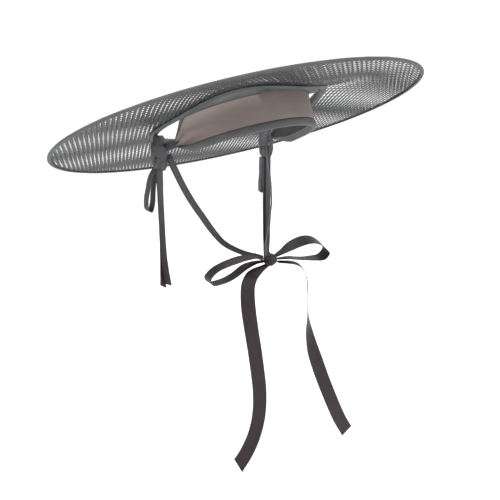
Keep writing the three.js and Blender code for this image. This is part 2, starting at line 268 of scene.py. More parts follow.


# Polyester satin: long floats along the warp give a streaked sheen that follows every fold.
# Between two heights the cloth is greyed towards the top: painted light, a pale wash standing in for the
# bright light on the ribbons near the brim.
def makeSatin(name, darker, lighter, roughness, paintedLightWash=None):
    material, tree, shader = newMaterial(name, Roughness=roughness, IOR=1.45)
    cloth = clothCoordinates(tree, 0.9, 24)  # warp streaks, drawn about three threads wide
    colour = mottledColour(tree, shader, darker, lighter, 1, cloth, 2.0)
    if paintedLightWash is not None:
        place = addNode(tree, "ShaderNodeTexCoord").outputs["Object"]
        height = addNode(tree, "ShaderNodeSeparateXYZ", {"Vector": place}).outputs["Z"]
        share = addNode(tree, "ShaderNodeMapRange", {
            "Value": height,
            "From Min": paintedLightWash["low"] * mm,
            "From Max": paintedLightWash["high"] * mm,
        }).outputs["Result"]
        mixed = addNode(
            tree,
            "ShaderNodeMix",
            {"Factor": share, 6: colour, 7: toLinear(paintedLightWash["colour"])},
            data_type="RGBA",
        )
        tree.links.new(mixed.outputs[2], shader.inputs["Base Color"])
    weft = clothCoordinates(tree, 0.7, 0.8)
    floats = combine(tree, "ADD", threadHeight(tree, weft, "X"), threadHeight(tree, weft, "Y"))
    addBump(tree, shader, floats, 0.035, 0.6)
    return material


# Plain cotton lining: matt, with an even weave.
def makeLining():
    material, tree, shader = newMaterial("plainWovenCottonLining", Roughness=0.9, IOR=1.45)
    mottledColour(tree, shader, "#2a2726", "#383432", 9)
    cloth = clothCoordinates(tree, 0.8, 0.8)
    threads = combine(tree, "MULTIPLY", threadHeight(tree, cloth, "X"), threadHeight(tree, cloth, "Y"))
    addBump(tree, shader, threads, 0.15, 0.8)
    return material


# Materials of the carried-over pieces, which the tapes hide but for a glimpse.
def makePlain(name, darker, lighter, roughness, metallic, grainMm):
    material, tree, shader = newMaterial(name, Roughness=roughness, Metallic=metallic)
    mottledColour(tree, shader, darker, lighter, grainMm)
    grain = addNode(tree, "ShaderNodeTexNoise", {
        "Vector": addNode(tree, "ShaderNodeTexCoord").outputs["Object"],
        "Scale": 1 / (grainMm * 0.2 * mm),
    })
    addBump(tree, shader, grain.outputs["Fac"], 0.03, 0.5)
    return material


netting = makeNetting()
edgeTape = makeTape("wovenPolyesterBinding", "#434648", "#4e5153")
bandTape = makeTape("wovenPolyesterBandBinding", "#4b4b4e", "#555557")
stitchThread = makePlain("spunPolyesterThread", "#2c2e30", "#3a3c3e", 0.6, 0, 0.6)
bandSatin = makeSatin("brownPolyesterSatin", "#776f6a", "#83726f", 0.45)
# The grey mixed into the ribbons towards the brim is painted light: a pale wash over their upper reaches.
ribbonSatin = makeSatin(
    "plumBlackPolyesterSatin", "#14050c", "#1e0914", 0.5, {"low": -165, "high": -40, "colour": "#46464a"}
)
lining = makeLining()
springSteel = makePlain("enamelledSpringSteel", "#3a3b3d", "#55565a", 0.45, 1, 3)
extrudedCore = makePlain("extrudedPolypropyleneCore", "#1c1d1f", "#26272a", 0.5, 0, 4)
buckram = makePlain("stiffenedBuckram", "#2c2a28", "#3a3734", 0.9, 0, 2)
for node, material in (
    ("outer_hoop_wire", springSteel),
    ("opening_hoop_core", extrudedCore),
    ("forehead_band_stiffener", buckram),
):
    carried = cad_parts[node]
    carried.data.materials.clear()
    carried.data.materials.append(material)
print("materials made")

# Ribbons: their widths and folds. The routes are the frame's own.
ribbonSizes = {
    "width": 17,
    "folded": 8,
    "pinched": 8,
    "pinchLength": 26,
    "thickness": 0.34,
    "selvedge": 0.55,  # the woven edges are this thick
    "foldGap": 0.9,  # between the leaves of a folded ribbon
    "ringStep": 1.6,
    "slantRun": 20,  # a slanted cut dies away along this much ribbon
}
sideKnotBase = {"right": (-88.44, 36.21, -45.85), "left": (88.44, 36.21, -45.85)}
sideKnotSize = {"across": 17, "depth": 20, "height": 38, "overlap": 5}  # overlap: folds past both ends
chinKnotPlace = (0, -58, -154)
chinKnotSize = {"across": 16, "depth": 12, "height": 13}


# Section of an open ribbon as (share of the width, thickness) points, round the outside.
def flatSection():
    across = [-0.5, -0.475, -0.44, -0.3, -0.15, 0, 0.15, 0.3, 0.44, 0.475, 0.5]
    thick = [ribbonSizes["selvedge"] if abs(a) > 0.46 else ribbonSizes["thickness"] for a in across]
    over = [(a, t / 2, a) for a, t in zip(across, thick)]
    under = [(a, -t / 2, 1 - a) for a, t in zip(across[::-1], thick[::-1])]
    return over + under


# Section of a ribbon folded in half along its length: two leaves joined at one edge.
def foldedSection():
    leaf = ribbonSizes["thickness"]
    half = ribbonSizes["foldGap"] / 2
    outside = [
        (-0.5, half),
        (-0.3, half + 0.12),
        (0, half + 0.2),
        (0.3, half + 0.1),
        (0.46, half * 0.7),
        (0.5, 0),
        (0.46, -half * 0.7),
        (0.3, -half - 0.1),
        (0, -half - 0.2),
        (-0.3, -half - 0.1),
        (-0.56, -half),
    ]
    inside = [
        (-0.56, -half + leaf),
        (-0.3, -half + leaf - 0.1),
        (0, -half + leaf - 0.15),
        (0.38, -leaf / 3),
        (0.38, leaf / 3),
        (0, half - leaf + 0.15),
        (-0.3, half - leaf + 0.1),
        (-0.5, half - leaf),
    ]
    return [(a, b, a) for a, b in outside + inside]


# A ribbon of satin along its route, in millimetres. ripple moves the cloth off the route's surface,
# from the share of the width and the runs from the route's start and end. ends is how far each end is
# cut on the slant, and tuck how far the ribbon runs on into its knot before the route starts.
def addRibbon(name, points, across, width, section, nodes, body, ripple, ends=(0, 0), tuck=0):
    route = Route(points)
    rings = int(route.length / ribbonSizes["ringStep"])
    shares = np.linspace(0, 1, rings)
    centre = route.at(shares)
    tangent = unit(np.gradient(centre, axis=0))
    side = Route(across).atEven(shares)
    side = unit(side - np.sum(side * tangent, axis=1, keepdims=True) * tangent)
    face = np.cross(tangent, side)
    vertices, uv = [], []
    for i, share in enumerate(shares):
        run = share * route.length
        fromEnd = route.length - run
        wide = width(run, fromEnd)
        for a, b, mapped in section:
            lift = ripple(a, run, fromEnd)
            firstSlant = ends[0] * a * (1 - smoothStep(run / ribbonSizes["slantRun"]))
            lastSlant = ends[1] * a * (1 - smoothStep(fromEnd / ribbonSizes["slantRun"]))
            onward = firstSlant + lastSlant - (tuck if i == 0 else 0)
            point = centre[i] + side[i] * a * wide + face[i] * (b + lift) + tangent[i] * onward
            vertices.append(point * mm)
            uv.append((mapped * wide, run))
    obj = addObject(name, vertices, closedTube(rings, len(section)), ribbonSatin, uv)
    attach(obj, body)
    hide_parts(*nodes)
    return obj, route, centre * mm


def evenWidth(width):
    return lambda run, fromEnd: width


def pinchedWidth(bothEnds):
    def width(run, fromEnd):
        near = min(run, fromEnd) if bothEnds else run
        grow = smoothStep(near / ribbonSizes["pinchLength"])
        return ribbonSizes["pinched"] + (ribbonSizes["width"] - ribbonSizes["pinched"]) * grow
    return width


# Pleats where a knot grips the ribbon, and slow waves along the rest.
def gripRipple(bothEnds, seed, wave=0.5):
    def ripple(a, run, fromEnd):
        near = min(run, fromEnd) if bothEnds else run
        pleat = 0.75 * math.cos(a * 5 * math.pi + seed) * (1 - smoothStep(near / 24))
        slow = wave * noise.noise(Vector((a * 0.8, run / 22, seed)))
        return pleat * (0.4 + 0.6 * smoothStep(near / 5)) + slow
    return ripple


def foldRipple(seed, wave=0.35):
    return lambda a, run, fromEnd: wave * noise.noise(Vector((a * 0.6, run / 14, seed)))


def placed(points, base, way=1):
    return [(base[0] + way * x, base[1] + y, base[2] + z) for x, y, z in points]


# The wearer's right side, in millimetres from the lowest point of the side knot. The left mirrors it.
sideRoutes = {
    "strapStart": (8, -9, 12),
    "strapEnd": (-5.5, 0.8, 1.5),  # from the middle of the chin knot's back
    "strapBow": [  # share of the straight way there, and how far the strap stands off it
        (0, (0, 0, 0)), (0.11, (-4, 2, -4)), (0.218, (-8.2, 2.9, -7.3)), (0.33, (-11.2, 4.2, -10)),
        (0.452, (-12.8, 5.7, -12.1)), (0.587, (-13.1, 9.3, -14.5)), (0.713, (-11.7, 11.7, -15.1)),
        (0.816, (-7.5, 11.3, -12.3)), (0.897, (-3.7, 8.1, -7.8)), (0.961, (-0.5, 4.2, -3)),
        (1, (0, 0, 0)),
    ],
    "strapAcross": [
        (-0.48, 0.73, -0.46), (-0.43, 0.61, -0.61), (-0.3, 0.55, -0.7), (0.1, 0.4, -0.74),
        (0.25, 0.33, -0.74),
    ],
    "tailFront": [
        (-1.8, -3, -1), (-2, -2.8, -14.2), (-2.1, -2.7, -39.2), (-1.9, -2.8, -64.2), (-1.5, -3.2, -89.2),
        (-0.9, -3.8, -109.2), (0.3, -4.6, -125.2), (2.1, -5.6, -141.2),
    ],
    "tailBack": [
        (-0.5, 1.2, -1), (-0.1, 1.2, -14.2), (0.1, 1, -39.2), (0.1, 0.8, -64.2), (-0.1, 0.6, -89.2),
        (-0.5, 0.6, -109.2), (-1.1, 0.6, -126.2), (-1.9, 0.4, -144.2),
    ],
    "tailAcross": [(1, 0, 0), (1, 0.1, 0), (1, 0, 0)],
    "loop": [
        (-2.9, 6.9, -0.5), (-6.1, 10.4, -8.2), (-9.3, 13, -24.2), (-11.1, 14.8, -37.2),
        (-9.9, 15.8, -48.2), (-5.9, 15.8, -51.2), (-3.1, 14.4, -42.2), (-2.7, 12.4, -28.2),
        (-1.5, 10.4, -12.2), (0.3, 8.1, -1.5),
    ],
    "loopAcross": [(0, 1, 0), (-0.15, 1, 0.1), (-0.15, 1, 0.1), (0, 1, 0)],
}
# The bow differs from side to side, in millimetres from the middle of that side of the knot.
chinRoutes = {
    ("loop", "right"): {
        "route": [
            (-0.6, 1, 3), (-11, 6, 6.4), (-23, 11, 6.6), (-35, 14, 5.4), (-52, 17.5, 2.4),
            (-65, 21, -3), (-70.5, 24, -11), (-65.5, 25, -18.5), (-50, 22.5, -19), (-35, 18, -13.6),
            (-22, 12.5, -4.8), (-10.5, 7, -1), (-0.8, 1.6, -0.2),
        ],
        "across": [(0.2, 1, 0), (0.3, 1, 0.1), (0.3, 1, 0), (0.3, 1, 0), (0.2, 1, 0)],
    },
    ("loop", "left"): {
        "route": [
            (0.6, 0, 3), (9, -3, 7), (18.5, -7.5, 13), (28, -12.5, 17.5), (39, -16.5, 19.4),
            (50, -19.5, 17.5), (63, -21.5, 10), (71.5, -22, 0.5), (65, -20.5, -6.6), (49, -17, -6.4),
            (33, -13, -4), (18, -7.5, -1.4), (0.8, -1, -0.2),
        ],
        "across": [(0.2, 1, 0), (0.2, 0.9, 0.4), (0.3, 0.9, 0.3), (0.3, 1, 0), (0.2, 1, 0)],
    },
    ("tail", "right"): {
        "route": [
            (0, -3.6, -3.6), (-9, -5, -4), (-19, -5.4, -6), (-28.5, -5.4, -11), (-35, -6.2, -19.4),
            (-38.4, -8.4, -31), (-40, -12, -50), (-39.6, -16, -72), (-38.4, -20, -96),
            (-36.6, -23, -122), (-35.6, -25.6, -146), (-37, -27.4, -168), (-41.6, -28, -190),
            (-49.4, -27.8, -208), (-60, -27, -223), (-71.6, -26, -234),
        ],
        "across": [
            (0, 1, 0), (-0.5, 0.8, 0), (-0.88, 0.47, 0), (-0.88, 0.47, 0), (-0.88, 0.47, 0),
            (-0.88, 0.47, 0),
        ],
    },
    ("tail", "left"): {
        "route": [
            (0, -3.4, -3.6), (9, -7.6, -4.8), (19, -12.4, -6.6), (27.6, -16.6, -11.2),
            (32.6, -20.4, -20), (34.2, -23.6, -32), (31.6, -27, -46), (27, -31.6, -64),
            (23.4, -37, -87), (24, -42.4, -109), (29, -48.4, -134), (37, -54, -161),
            (46.8, -59.6, -189), (58, -64.2, -216), (71, -68.4, -240),
        ],
        "across": [
            (0.3, 1, 0), (0.6, 0.8, 0), (0.74, 0.67, 0), (0.78, 0.62, 0), (0.94, 0.1, 0),
            (0.9, -0.42, 0), (0.88, -0.47, 0), (0.88, -0.47, 0), (0.88, -0.47, 0), (0.86, -0.5, 0),
        ],
    },
}

origin = (0, 0, 0)
for side, way in (("right", 1), ("left", -1)):
    base = sideKnotBase[side]
    tieBody = "side_tie_" + side
    start = np.array(placed([sideRoutes["strapStart"]], base, way)[0])
    chinBack = (chinKnotPlace[0], chinKnotPlace[1] + chinKnotSize["depth"] / 2, chinKnotPlace[2])
    end = np.array(placed([sideRoutes["strapEnd"]], chinBack, way)[0])
    strapRoute = [
        placed([offset], start + (end - start) * share, way)[0] for share, offset in sideRoutes["strapBow"]
    ]
    folded = evenWidth(ribbonSizes["folded"])
    addRibbon(
        "chinStrap." + side, strapRoute, placed(sideRoutes["strapAcross"], origin, way), folded,
        foldedSection(), ["chin_strap_" + side], "chin_strap", foldRipple(1 + way), tuck=5.4,
    )
    for place, key, seed in (("front", "tailFront", 3), ("back", "tailBack", 7)):
        addRibbon(
            "sideTail." + place + "." + side, placed(sideRoutes[key], base, way),
            placed(sideRoutes["tailAcross"], origin, way), folded, foldedSection(),
            ["side_tail_%s_%s" % (place, side)], tieBody, foldRipple(seed + way), (0, 5), tuck=4,
        )
    addRibbon(
        "sideLoop." + side, placed(sideRoutes["loop"], base, way),
        placed(sideRoutes["loopAcross"], origin, way), folded, foldedSection(),
        ["side_loop_" + side], tieBody, foldRipple(11 + way), tuck=4,
    )

for (kind, side), shape in chinRoutes.items():
    way = 1 if side == "left" else -1
    knotSide = (way * chinKnotSize["across"] / 2, chinKnotPlace[1], chinKnotPlace[2])
    isLoop = kind == "loop"
    addRibbon(
        "chin%s.%s" % (kind.capitalize(), side), placed(shape["route"], knotSide), shape["across"],
        pinchedWidth(isLoop), flatSection(), ["chin_%s_%s" % (kind, side)],
        "chin_strap" if isLoop else "chin_tail_" + side, gripRipple(isLoop, 17 + way),
        (0, 0) if isLoop else (0, -7),
    )
print("ribbons made")

# Brim: a flat ring, tilted back on the head. In its own frame x is across, y to the back, z square to it.
brimSizes = {
    "diameter": 440,
    "tilt": 19,
    "openingLength": 208,
    "openingWidth": 188,
    "openingForward": 6,
    "openingRise": 10.5,
    "cornerLift": 8.5,  # the opening stands higher still at either side of its front
}
tilt = math.radians(brimSizes["tilt"])
outerRadius = brimSizes["diameter"] / 2


def fromBrim(points):
    points = np.asarray(points, float)
    across, along, rise = points[..., 0], points[..., 1], points[..., 2]
    return np.stack(
        [
            across,
            along * math.cos(tilt) + rise * math.sin(tilt),
            -along * math.sin(tilt) + rise * math.cos(tilt),
        ],
        axis=-1,
    )


# A place on the brim as shares of the oval at a share of the way out: to the side and to the back.
def ovalPlace(across, along, share):
    wide = brimSizes["openingWidth"] / 2 * (1 - share) + outerRadius * share
    long = brimSizes["openingLength"] / 2 * (1 - share) + outerRadius * share
    return across / wide, (along + brimSizes["openingForward"] * (1 - share)) / long


# Share of the way from the opening's edge to the outer edge at a place on the brim, by halving.
def brimShare(across, along):
    low, high = np.full(across.shape, -0.9), np.full(across.shape, 1.5)
    for _ in range(26):
        share = (low + high) / 2
        sideways, backward = ovalPlace(across, along, share)
        beyond = sideways**2 + backward**2 > 1
        low, high = np.where(beyond, share, low), np.where(beyond, high, share)
    return (low + high) / 2


# Height of the brim at a share of the way out. forward is 1 at the front and sideways is 1 at a side.
def brimRise(share, sideways, forward):
    corner = np.where(forward > 0, (2 * sideways * forward) ** 2, 0)
    return (brimSizes["openingRise"] + brimSizes["cornerLift"] * corner) * (1 - share)


# Points of the brim's rings: share 0 is the opening's edge and 1 the outer edge.
def ringPoints(turns, share, outward, up):
    direction = np.stack([np.sin(turns), np.cos(turns)], axis=-1)
    inner = direction * (brimSizes["openingWidth"] / 2, brimSizes["openingLength"] / 2)
    inner[..., 1] -= brimSizes["openingForward"]
    outer = direction * outerRadius
    span = np.linalg.norm(outer - inner, axis=-1)
    along = (share * span + outward) / span
    flat = inner + (outer - inner) * along[..., None]
    rise = brimRise(along, direction[..., 0], -direction[..., 1]) + up
    return np.concatenate([flat, rise[..., None]], axis=-1)


# Netting: two layers, each with flat ribs one way and fine threads woven through them. Their
# slightly different lie makes the slits open and close across the brim.
nettingSizes = {
    "layerRise": 0.5,  # each layer's middle above or below the brim's own surface
    "ribWidth": 2.75,
    "ribThickness": 0.16,
    "ribStep": 5,
    "ribSway": 0.3,
    "crossPitch": 9.6,
    "crossWidth": 1.5,
    "crossThickness": 0.1,
    "crossPast": 0.1,  # a thread turns this far past each side of a rib
    "outerInset": 1.9,  # the cloth stops this far inside the outer edge
    "innerInset": 5.5,  # and this far from the opening's edge
    "edge": (0.055, 0.985),  # shares of the brim where the ribs start and stop, inside the tapes
    "layers": {
        "upper": {"pitch": 4.929, "turn": -27.594, "shift": 0.55, "side": 1},
        "lower": {"pitch": 4.8, "turn": -30.17, "shift": 0.0, "side": -1},
    },
}


# Runs of one straight line that lie on the brim, as arrays of millimetres along it.
def runsOnBrim(start, direction, step, shift=0.0):
    reach = math.ceil(outerRadius / step) * step
    marks = np.arange(-reach, reach + step / 2, step) + shift
    points = start + marks[:, None] * direction
    share = brimShare(points[:, 0], points[:, 1])
    low, high = nettingSizes["edge"]
    inside = (share > low) & (share < high)
    runs, current = [], []
    for i, keep in enumerate(inside):
        if keep:
            current.append(i)
        elif current:
            runs.append(marks[current])
            current = []
    return [run for run in runs if len(run) > 1]


# Height of the brim at places on it, in its own frame.
def netRise(flat):
    share = brimShare(flat[:, 0], flat[:, 1])
    sideways, backward = ovalPlace(flat[:, 0], flat[:, 1], share)
    return brimRise(share, sideways, -backward)


# The ribs of one layer, or the fine threads that cross them: over one rib and under the next.
def netStrips(layer, isRib):
    turn = math.radians(layer["turn"])
    normal = np.array([math.cos(turn), math.sin(turn)])
    along = np.array([-normal[1], normal[0]])
    pitch = layer["pitch"]
    half = nettingSizes["ribWidth"] / 2 + nettingSizes["crossPast"]
    vertices, uv, faces, count = [], [], [], 0
    if isRib:
        spacing, direction, offset = pitch, along, normal
        width, thickness = nettingSizes["ribWidth"], nettingSizes["ribThickness"]
    else:
        spacing, direction, offset = nettingSizes["crossPitch"], normal, along
        width, thickness = nettingSizes["crossWidth"], nettingSizes["crossThickness"]
    total = int(outerRadius / spacing) + 1
    for number in range(-total, total + 1):
        if isRib:
            start = offset * (number - layer["shift"]) * spacing
            runs = runsOnBrim(start, direction, nettingSizes["ribStep"])
        else:
            start = offset * number * spacing
            overs = runsOnBrim(start, direction, pitch, -layer["shift"] * pitch)
            runs = [np.stack([run - half, run + half], axis=1).ravel() for run in overs]
        for run in runs:
            flat = start + run[:, None] * direction
            if isRib:
                beat = np.round(run / nettingSizes["ribStep"]).astype(int) % 2 * 2 - 1
                flat = flat + offset * (beat * nettingSizes["ribSway"])[:, None]
                lift = np.zeros(len(run))
            else:
                ribMiddle = run - half * np.tile([-1, 1], len(run) // 2)
                rib = np.round(ribMiddle / pitch + layer["shift"]).astype(int)
                over = (rib + number) % 2 * 2 - 1
                lift = over * (nettingSizes["ribThickness"] + thickness) / 2
            rise = netRise(flat) + layer["side"] * nettingSizes["layerRise"] + lift
            corners = ((-0.5, -0.5), (0.5, -0.5), (0.5, 0.5), (-0.5, 0.5))
            lines = [np.column_stack([flat + offset * a * width, rise + b * thickness]) for a, b in corners]
            mapped = [np.column_stack([np.full(len(run), a * width), run]) for a, _ in corners]
            vertices.append(np.stack(lines, axis=1).reshape(-1, 3))
            uv.append(np.stack(mapped, axis=1).reshape(-1, 2))
            faces.extend(closedTube(len(run), len(corners), count))
            count += len(run) * len(corners)
    return np.concatenate(vertices), np.concatenate(uv), faces


def addNetting(name, layer, node):
    # The cloth stops a little short of both edges, inside the folds of their tapes.
    ribs, ribMap, ribFaces = netStrips(layer, True)
    threads, threadMap, threadFaces = netStrips(layer, False)
    threadFaces = [[corner + len(ribs) for corner in face] for face in threadFaces]
    obj = addObject(
        name,
        fromBrim(np.concatenate([ribs, threads])) * mm,
        ribFaces + threadFaces,
        netting,
        np.concatenate([ribMap, threadMap]),
        smooth=False,
    )
    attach(obj, "hat")
    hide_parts(node)
    print(name, len(obj.data.polygons) * 2, "triangles")


addNetting("brimNetting.upper", nettingSizes["layers"]["upper"], "brim_mesh_upper")
addNetting("brimNetting.lower", nettingSizes["layers"]["lower"], "brim_mesh_lower")
print("netting made")

# Edge tapes: folded over the edges, with one row of stitches on each face.
tapeSizes = {
    "rings": 420,
    "pucker": 0.16,
    "puckerSize": 9,
    "outer": [  # distance in from the edge and height, round the fold and back along its inside
        (4, 1.42), (3.2, 1.52), (2.2, 1.6), (1.2, 1.5), (0.5, 1.1), (0.1, 0.6), (0, 0), (0.1, -0.6),
        (0.5, -1.1), (1.2, -1.5), (2.2, -1.6), (3.2, -1.52), (4, -1.42), (4, -1.06), (2.8, -1.14),
        (1.3, -0.7), (0.9, 0), (1.3, 0.7), (2.8, 1.14), (4, 1.06),
    ],
    "opening": [
        (9.5, 1.6), (8.8, 2.1), (7.8, 2.9), (6.6, 3.5), (5, 3.7), (3.2, 3.7), (1.6, 3.2), (0.5, 2.1),
        (0.05, 0.9), (0, -0.2), (0.3, -1.6), (1.2, -2.9), (2.6, -3.6), (4.2, -3.72), (6, -3.6), (7.6, -3),
        (8.8, -2.1), (9.5, -1.6), (9.5, -1.1), (8.2, -1.7), (6.8, -2.8), (5, -3.3), (3, -3.2), (1, -1.6),
        (0.6, 0), (1, 1.6), (3, 3.2), (5, 3.3), (6.8, 2.8), (8.2, 1.7), (9.5, 1.1),
    ],
}
stitchSizes = {
    "length": 2.5,
    "gap": 0.8,
    "radius": 0.24,
    "inset": 1.5,
    "lift": 0.1,
    "corners": 5,
    # share of the length, and share of the radius in girth and in height, for each ring
    "rings": ((0, 0.45, -0.8), (0.18, 1, 0), (0.82, 1, 0), (1, 0.45, -0.8)),
}


def addStitches(name, line, outside, body, closed=False):
    line = np.asarray(line, float)
    if closed:
        line = np.concatenate([line, line[:1]])
        outside = np.concatenate([outside, outside[:1]])
    run = np.concatenate([[0], np.cumsum(np.linalg.norm(np.diff(line, axis=0), axis=1))])
    pitch = stitchSizes["length"] + stitchSizes["gap"]
    rings, corners = stitchSizes["rings"], stitchSizes["corners"]
    shares = np.array([share for share, _, _ in rings])
    vertices, uv, faces = [], [], []
    for number in range(int(run[-1] / pitch)):
        marks = number * pitch + stitchSizes["length"] * shares
        centre = np.stack([np.interp(marks, run, line[:, k]) for k in range(3)], axis=1)
        up = unit(np.stack([np.interp(marks, run, outside[:, k]) for k in range(3)], axis=1))
        tangent = unit(np.gradient(centre, axis=0))
        side = np.cross(tangent, up)
        for ring, (_, radius, sink) in enumerate(rings):
            for corner in range(corners):
                angle = 2 * math.pi * corner / corners
                reach = radius * stitchSizes["radius"]
                vertices.append(
                    centre[ring]
                    + side[ring] * reach * math.cos(angle)
                    + up[ring] * (reach * math.sin(angle) + sink * stitchSizes["radius"])
                )
                uv.append((angle * reach, marks[ring]))
        faces.extend(closedTube(len(rings), corners, number * len(rings) * corners))
    obj = addObject(name, np.array(vertices) * mm, faces, stitchThread, uv)
    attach(obj, body)


def addBrimTape(name, share, section, node):
    side = 1 if share == 0 else -1
    rings = tapeSizes["rings"]
    turns = np.arange(rings) * 2 * math.pi / rings
    girth = outerRadius if share else brimSizes["openingWidth"] / 2
    around = [Vector((math.sin(turn) * girth, math.cos(turn) * girth, 0)) for turn in turns]
    puckers = [noise.noise(place / tapeSizes["puckerSize"]) for place in around]
    pucker = np.array(puckers) * tapeSizes["pucker"]
    columns, uv = [], []
    wrap = 0
    for i, (outward, up) in enumerate(section):
        last = section[i - 1] if i else section[0]
        wrap += math.dist((outward, up), last)
        swell = pucker * math.copysign(1, up) if abs(up) > 1 else 0
        columns.append(ringPoints(turns, share, np.full(rings, side * outward), np.full(rings, up) + swell))
        uv.append(np.column_stack([np.full(rings, wrap), turns * girth]))
    vertices = np.stack(columns, axis=1).reshape(-1, 3)
    faces = ringFaces(rings, len(section), closedRings=True)
    if side > 0:
        faces = [face[::-1] for face in faces]
    obj = addObject(name, fromBrim(vertices) * mm, faces, edgeTape, np.stack(uv, axis=1).reshape(-1, 2))
    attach(obj, "hat")
    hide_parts(node)
    inset = section[0][0] - stitchSizes["inset"]
    for face, way in (("upper", 1), ("lower", -1)):
        height = way * (section[0][1] + stitchSizes["lift"])
        line = ringPoints(turns, share, np.full(rings, side * inset), np.full(rings, height))
        outside = np.zeros((rings, 3))
        outside[:, 2] = way
        addStitches(name + ".stitches." + face, fromBrim(line), fromBrim(outside), "hat", closed=True)


addBrimTape("outerEdgeTape", 1, tapeSizes["outer"], "outer_edge_tape")
addBrimTape("openingEdgeTape", 0, tapeSizes["opening"], "opening_edge_tape")
print("edge tapes made")

# Forehead band: satin over a stiffener and lining, bound at both edges and gathered at its ends.
bandSizes = {
    "length": 194,
    "width": 161,
    "height": 46,
    "top": 20,
    "gatherLevel": 14,  # the ends gather towards this height above the lower edge
    "halfAngle": 84,
    "endAngle": 102,
    "endHeight": 8,
    "bulge": 0.9,
    "pleat": 1.7,
    "pleatAngles": (60, 102),  # where the pleats die away, and where they are deepest
    "pleatCount": 3.2,
    "tapeWidth": 8,
    "stitchLevel": 0.82,  # share of the tape's width in from the edge
    "stitchOut": 1.36,
}


# Share of the band's height left at a turn from the front.
def bandTaper(turn):
    ends = bandSizes["endAngle"] - bandSizes["halfAngle"]
    past = np.clip((np.abs(turn) - bandSizes["halfAngle"]) / ends, 0, 1)
    narrowest = bandSizes["endHeight"] / bandSizes["height"]
    return 1 - (1 - narrowest) * (0.35 * past + 0.65 * smoothStep(past))


# turn in degrees from the front, out from the band's face, level from 0 below to 1 above.
def bandPoints(turn, out, level):
    angle = np.radians(turn)
    wide, long = bandSizes["width"] / 2, bandSizes["length"] / 2
    facing = unit(np.stack([np.sin(angle) * long, -np.cos(angle) * wide], axis=-1))
    flat = np.stack([np.sin(angle) * wide, -np.cos(angle) * long], axis=-1) + facing * out[..., None]
    gather = bandSizes["gatherLevel"]
    up = gather + (level * bandSizes["height"] - gather) * bandTaper(turn)
    rise = bandSizes["top"] - bandSizes["height"] + up
    return np.concatenate([flat, rise[..., None]], axis=-1)


bandGirth = (bandSizes["width"] + bandSizes["length"]) / 4  # millimetres for each radian, near enough


# Folds that run out of the gathered ends and die away along the band.
def bandFolds(turn, level):
    first, deepest = bandSizes["pleatAngles"]
    near = smoothStep((abs(turn) - first) / (deepest - first))
    side = math.copysign(1, turn)
    run = math.radians(turn) * bandGirth
    wobble = 0.55 * noise.noise(Vector((run / 30, level * 1.4, 5 * side)))
    count = bandSizes["pleatCount"] * (level - 0.5) * (1 - 0.25 * near)
    folds = math.cos(2 * math.pi * (count + wobble) + 0.7)
    crease = 0.45 * noise.noise(Vector((run / 9, level * 5, 2)))
    slow = 0.5 * noise.noise(Vector((run / 38, level * 1.2, 9)))
    return bandSizes["pleat"] * near * (0.8 * folds + crease) + slow


bandSheetSizes = {"thickness": 0.4, "inset": 0.02, "endGap": 0.4, "turns": 361, "levels": 27}


# A layer of the band. front is how far its face stands out, and folding how far it follows the pleats.
def addBandSheet(name, front, folding, bulge, material, nodes):
    endTurn = bandSizes["endAngle"] - bandSheetSizes["endGap"]
    turns = np.linspace(-endTurn, endTurn, bandSheetSizes["turns"])
    levels = np.linspace(bandSheetSizes["inset"], 1 - bandSheetSizes["inset"], bandSheetSizes["levels"])
    rows, uv = [], []
    for turn in turns:
        fold = np.array([bandFolds(turn, level) for level in levels]) * folding
        rise = bulge * (1 - (2 * levels - 1) ** 4)
        outside = front + fold + rise
        outs = np.concatenate([outside, outside[::-1] - bandSheetSizes["thickness"]])
        both = np.concatenate([levels, levels[::-1]])
        rows.append(bandPoints(np.full(len(both), turn), outs, both))
        run = math.radians(turn) * bandGirth
        uv.append(np.column_stack([both * bandSizes["height"], np.full(len(both), run)]))
    faces = [face[::-1] for face in closedTube(len(turns), len(levels) * 2)]
    obj = addObject(name, fromBrim(np.concatenate(rows)) * mm, faces, material, np.concatenate(uv))
    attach(obj, "hat")
    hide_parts(*nodes)


addBandSheet(
    "foreheadBandSatin", -0.1, 1.0, bandSizes["bulge"], bandSatin,
    ["forehead_band_satin", "band_gather_right", "band_gather_left"],
)
addBandSheet("foreheadBandLining", -2.5, 0.55, 0, lining, ["forehead_band_lining"])


